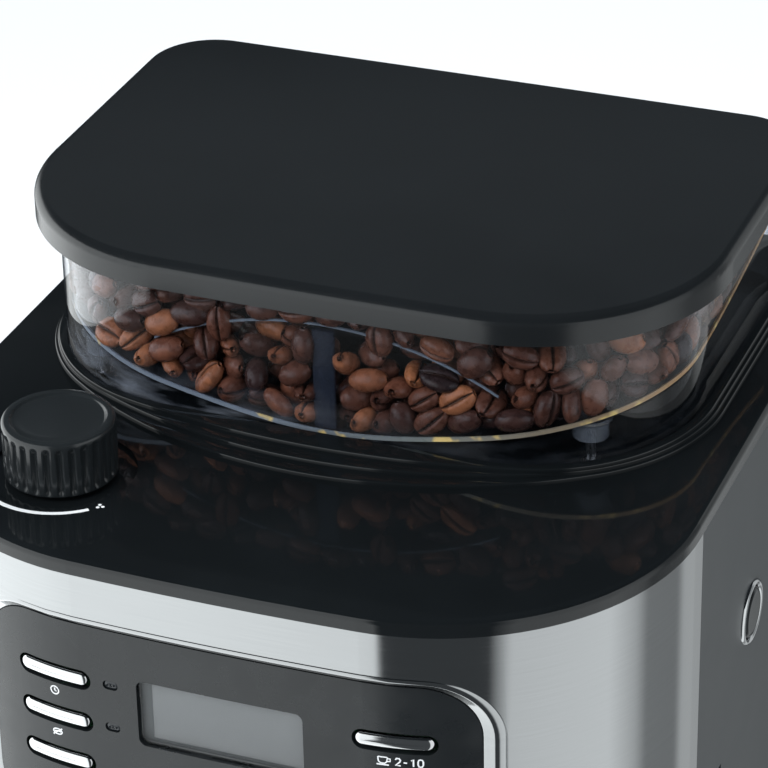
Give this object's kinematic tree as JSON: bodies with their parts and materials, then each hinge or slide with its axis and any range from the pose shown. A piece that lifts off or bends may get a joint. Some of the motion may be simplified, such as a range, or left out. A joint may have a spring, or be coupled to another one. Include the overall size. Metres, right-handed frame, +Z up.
{
  "type": "grind and brew coffee maker",
  "caption": "Filter coffee maker with a built-in burr grinder, clear bean hopper with a black lid, steel front with control panel and swing-out brew basket.",
  "frame": {"origin": "centre of the footprint, on the surface that the feet stand on", "axes": "+Z up, -Y is the front with the control panel, +X to the right as seen from the front"},
  "size_m": [0.24, 0.262, 0.4207],
  "materials": {
    "black_satin": "satin moulded",
    "rubber": "matte",
    "hotplate_coating": "non-stick coating",
    "aluminium": "drawn",
    "side_grey": "fine satin",
    "clear_plastic": "clear moulded plastic",
    "brushed_steel": "brushed",
    "panel_gloss": "gloss",
    "indicator_lens": "clear lens",
    "display_window": "tinted clear",
    "display_grey": "unlit display",
    "circuit_board": "solder mask",
    "chrome": "polished",
    "deck_gloss": "high gloss",
    "plain_steel": "machined",
    "coffee_beans": "roasted beans",
    "lid_satin": "satin",
    "knob_black": "satin",
    "white_nylon": "moulded",
    "motor_can": "plated",
    "tank_clear": "translucent plastic",
    "silicone": "translucent silicone",
    "carafe_glass": "clear glass"
  },
  "bodies": {
    "housing": {"base_plate": "black_satin", "rubber_feet": "rubber", "base_housing": "black_satin", "hotplate": "hotplate_coating", "heating_element": "aluminium", "cord_gland": "rubber", "side_panel_left": "side_grey", "side_panel_right": "side_grey", "column_wall": "black_satin", "back_cover": "black_satin", "level_window": "clear_plastic", "front_shell": "brushed_steel", "panel_frame": "brushed_steel", "control_panel": "panel_gloss", "indicator_lenses": "indicator_lens", "display_window": "display_window", "display_module": "display_grey", "control_board": "circuit_board", "release_bezel": "chrome", "top_deck": "deck_gloss", "hopper_surround": "deck_gloss", "hopper": "clear_plastic", "hopper_screws": "plain_steel", "bean_guard": "clear_plastic", "coffee_beans": "coffee_beans", "drive_motor": "motor_can", "gearbox_plate": "black_satin", "grinder_housing": "black_satin", "grounds_chute": "black_satin", "head_floor": "black_satin", "spray_head": "plain_steel", "water_tank": "tank_clear", "riser_tube": "silicone"},
    "lid": {"hopper_lid": "lid_satin"},
    "knob": {"grind_knob": "knob_black", "knob_gear": "white_nylon"},
    "idler": {"adjust_idler": "white_nylon"},
    "burr_ring": {"adjust_ring": "white_nylon", "ring_burr": "plain_steel"},
    "burr": {"burr_shaft": "plain_steel", "cone_burr": "plain_steel"},
    "reduction": {"reduction_gear": "white_nylon"},
    "rotor": {"motor_pinion": "plain_steel"},
    "basket": {"basket_holder": "black_satin", "basket_front": "brushed_steel", "filter_basket": "black_satin"},
    "valve": {"drip_valve": "silicone"},
    "carafe": {"carafe_glass": "carafe_glass", "carafe_handle": "black_satin", "carafe_lid": "black_satin"},
    "flap": {"tank_flap": "deck_gloss"},
    "release": {"release_button": "deck_gloss"},
    "key_program": {"button_program": "chrome"},
    "key_grind_off": {"button_grind_off": "chrome"},
    "key_hour": {"button_hour": "chrome"},
    "key_minute": {"button_minute": "chrome"},
    "key_cups": {"button_cups": "chrome"},
    "key_strength": {"button_strength": "chrome"},
    "key_keep_warm": {"button_keep_warm": "chrome"},
    "key_on_off": {"button_on_off": "chrome"}
  },
  "joints": [
    {"name": "lid_lift", "type": "slide", "parent": "housing", "child": "lid", "axis": [0, 0, 1], "range_m": [0, 0.08]},
    {"name": "knob_turn", "type": "hinge", "parent": "housing", "child": "knob", "pos_m": [-0.0665, -0.086, 0.38], "axis": [0, 0, 1], "range_deg": [-120, 120]},
    {"name": "idler_turn", "type": "hinge", "parent": "housing", "child": "idler", "pos_m": [-0.04335, -0.05942, 0.346], "axis": [0, 0, 1], "range_deg": [-90, 90]},
    {"name": "burr_ring_turn", "type": "hinge", "parent": "housing", "child": "burr_ring", "pos_m": [0, -0.00965, 0.346], "axis": [0, 0, 1], "range_deg": [-41, 41]},
    {"name": "burr_turn", "type": "hinge", "parent": "housing", "child": "burr", "pos_m": [0, -0.00965, 0.3], "axis": [0, 0, 1], "continuous": true},
    {"name": "reduction_turn", "type": "hinge", "parent": "housing", "child": "reduction", "pos_m": [0, 0.01935, 0.27], "axis": [0, 0, 1], "continuous": true},
    {"name": "rotor_turn", "type": "hinge", "parent": "housing", "child": "rotor", "pos_m": [0, 0.04735, 0.27], "axis": [0, 0, 1], "continuous": true},
    {"name": "basket_swing", "type": "hinge", "parent": "housing", "child": "basket", "pos_m": [-0.1125, -0.026, 0.225], "axis": [0, 0, -1], "range_deg": [0, 90]},
    {"name": "valve_lift", "type": "slide", "parent": "basket", "child": "valve", "axis": [0, 0, 1], "range_m": [0, 0.0035], "stiffness_N_per_m": 150, "springref_m": -0.003},
    {"name": "carafe_pull", "type": "slide", "parent": "housing", "child": "carafe", "axis": [0, -1, 0], "range_m": [0, 0.2]},
    {"name": "flap_open", "type": "hinge", "parent": "housing", "child": "flap", "pos_m": [0, 0.1233, 0.3625], "axis": [-1, 0, 0], "range_deg": [0, 100]},
    {"name": "release_press", "type": "slide", "parent": "housing", "child": "release", "axis": [-1, 0, 0], "range_m": [0, 0.003], "stiffness_N_per_m": 400, "springref_m": -0.002},
    {"name": "press_program", "type": "slide", "parent": "housing", "child": "key_program", "axis": [0, 1, 0], "range_m": [0, 0.0008], "stiffness_N_per_m": 500, "springref_m": -0.001},
    {"name": "press_grind_off", "type": "slide", "parent": "housing", "child": "key_grind_off", "axis": [0, 1, 0], "range_m": [0, 0.0008], "stiffness_N_per_m": 500, "springref_m": -0.001},
    {"name": "press_hour", "type": "slide", "parent": "housing", "child": "key_hour", "axis": [0, 1, 0], "range_m": [0, 0.0008], "stiffness_N_per_m": 500, "springref_m": -0.001},
    {"name": "press_minute", "type": "slide", "parent": "housing", "child": "key_minute", "axis": [0, 1, 0], "range_m": [0, 0.0008], "stiffness_N_per_m": 500, "springref_m": -0.001},
    {"name": "press_cups", "type": "slide", "parent": "housing", "child": "key_cups", "axis": [0, 1, 0], "range_m": [0, 0.0008], "stiffness_N_per_m": 500, "springref_m": -0.001},
    {"name": "press_strength", "type": "slide", "parent": "housing", "child": "key_strength", "axis": [0, 1, 0], "range_m": [0, 0.0008], "stiffness_N_per_m": 500, "springref_m": -0.001},
    {"name": "press_keep_warm", "type": "slide", "parent": "housing", "child": "key_keep_warm", "axis": [0, 1, 0], "range_m": [0, 0.0008], "stiffness_N_per_m": 500, "springref_m": -0.001},
    {"name": "press_on_off", "type": "slide", "parent": "housing", "child": "key_on_off", "axis": [0, 1, 0], "range_m": [0, 0.0008], "stiffness_N_per_m": 500, "springref_m": -0.001}
  ],
  "couplings": [
    {"joint": "idler_turn", "follows": "knob_turn", "ratio": -0.74074},
    {"joint": "burr_ring_turn", "follows": "knob_turn", "ratio": 0.32787},
    {"joint": "reduction_turn", "follows": "burr_turn", "ratio": -3.1429},
    {"joint": "rotor_turn", "follows": "burr_turn", "ratio": 11.524}
  ]
}
